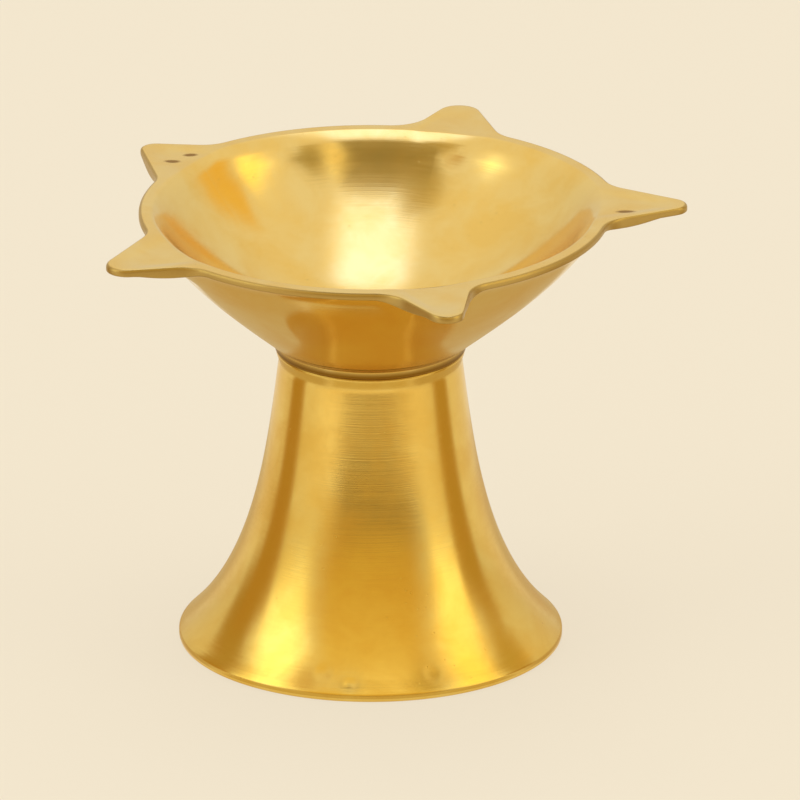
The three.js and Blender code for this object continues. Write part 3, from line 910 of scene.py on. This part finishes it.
# Painted shadow: two warm grey cards close round the foot stand in, in the reflections, for the
# lamp's shadow on the floor
card("floor_shadow_card", (50, 310), (-89, -24), 0.12, (0.62, 0.48, 0.26), (0.62, 0.48, 0.26), 0.05)
card("front_floor_shadow_card", (-52, 52), (-89, -42), 0.12, (0.70, 0.56, 0.30), (0.70, 0.56, 0.30), 0.05)
flat_card("front_floor_card", (-0.6, 0.5), (-0.46, -0.10), 0.0006,
          (1.15, 0.98, 0.66), (1.15, 0.98, 0.66), 0.12)
flat_card("front_floor_shade", (-0.22, 0.24), (-0.46, -0.14), 0.0007,
          (0.78, 0.64, 0.38), (0.88, 0.73, 0.47), 0.3)
flat_card("front_floor_far", (-0.48, 0.52), (-1.10, -0.42), 0.0008,
          (0.10, 0.07, 0.02), (0.14, 0.09, 0.03), 0.1)
card("left_spot_card", (-70, -48), (48, 64), 0.9, (0.60, 0.36, 0.08), (0.60, 0.36, 0.08), 0.4)
card("right_spot_card", (40, 66), (50, 70), 0.85, (0.50, 0.38, 0.08), (0.50, 0.38, 0.08), 0.4)


def soft_card(name, azimuth, elevation, distance, width, height, colour):
    """A glowing card that faces the lamp and fades out all round, seen only in the brass."""
    shape = bmesh.new()
    fade = shape.verts.layers.float.new("fade")
    bmesh.ops.create_grid(shape, x_segments=24, y_segments=24, size=0.5)
    away = direction(azimuth, elevation)
    facing = away.to_track_quat("Z", "Y")
    for vert in shape.verts:
        vert[fade] = fade_at(vert.co.x, vert.co.y, 0.3, 0.3)
        vert.co = (lamp_axis + Vector((0, 0, glow_height)) + away * distance
                   + facing @ Vector((vert.co.x * width, vert.co.y * height, 0.0)))
    reflected(name, shape, 2, 0.0, 1.0, colour, colour)


def soft_box(name, azimuth, elevation, distance, width, height, brightness, colour):
    """An even square light that faces the lamp, as bright as a written colour times a number."""
    lamp_data = bpy.data.lights.new(name, "AREA")
    lamp_data.shape = "RECTANGLE"
    lamp_data.size = width
    lamp_data.size_y = height
    lamp_data.energy = brightness * math.pi * width * height
    lamp_data.color = colour
    made = bpy.data.objects.new(name, lamp_data)
    bpy.context.scene.collection.objects.link(made)
    away = direction(azimuth, elevation)
    made.location = lamp_axis + Vector((0, 0, glow_height)) + away * distance
    made.rotation_euler = away.to_track_quat("Z", "Y").to_euler()
    made.visible_glossy = False


soft_box("left_soft_box", -70, 34, 1.1, 0.62, 0.85, 1.7, (0.97, 1.0, 0.92))
soft_box("right_soft_box", 80, 32, 1.1, 0.50, 0.80, 1.4, (1.0, 0.98, 0.80))
soft_box("overhead_soft_box", 180, 73.5, 1.1, 0.42, 1.2, 2.0, (1.0, 1.0, 0.97))
soft_card("left_glow", -73, 32, 1.05, 0.84, 1.06, (1.75, 1.80, 1.45))
soft_card("right_glow", 72, 25, 1.05, 0.78, 1.06, (1.66, 1.46, 0.80))
soft_card("left_high_glow", -80, 46, 1.03, 0.45, 0.35, (2.2, 2.0, 1.3))
soft_card("right_high_glow", 84, 46, 1.03, 0.55, 0.35, (2.0, 1.7, 0.7))
soft_card("overhead_glow", 180, 75, 1.05, 0.60, 1.32, (1.5, 1.62, 2.1))

sky = bpy.data.worlds.new("sky")
bpy.context.scene.world = sky
sky.use_nodes = True
sky_light = sky.node_tree.nodes["Background"]
sky_light.inputs["Color"].default_value = (0.84, 0.77, 0.62, 1.0)
# The sky grows brighter with height
sky_spot = place(sky.node_tree, "ShaderNodeTexCoord")
sky_height = place(sky.node_tree, "ShaderNodeSeparateXYZ", {
    "Vector": sky_spot.outputs["Generated"]})
sky.node_tree.links.new(spread(sky.node_tree, sky_height.outputs[2], 0.0, 0.7, 0.90, 1.13),
                        sky_light.inputs["Strength"])

bpy.context.scene.view_settings.view_transform = "Standard"
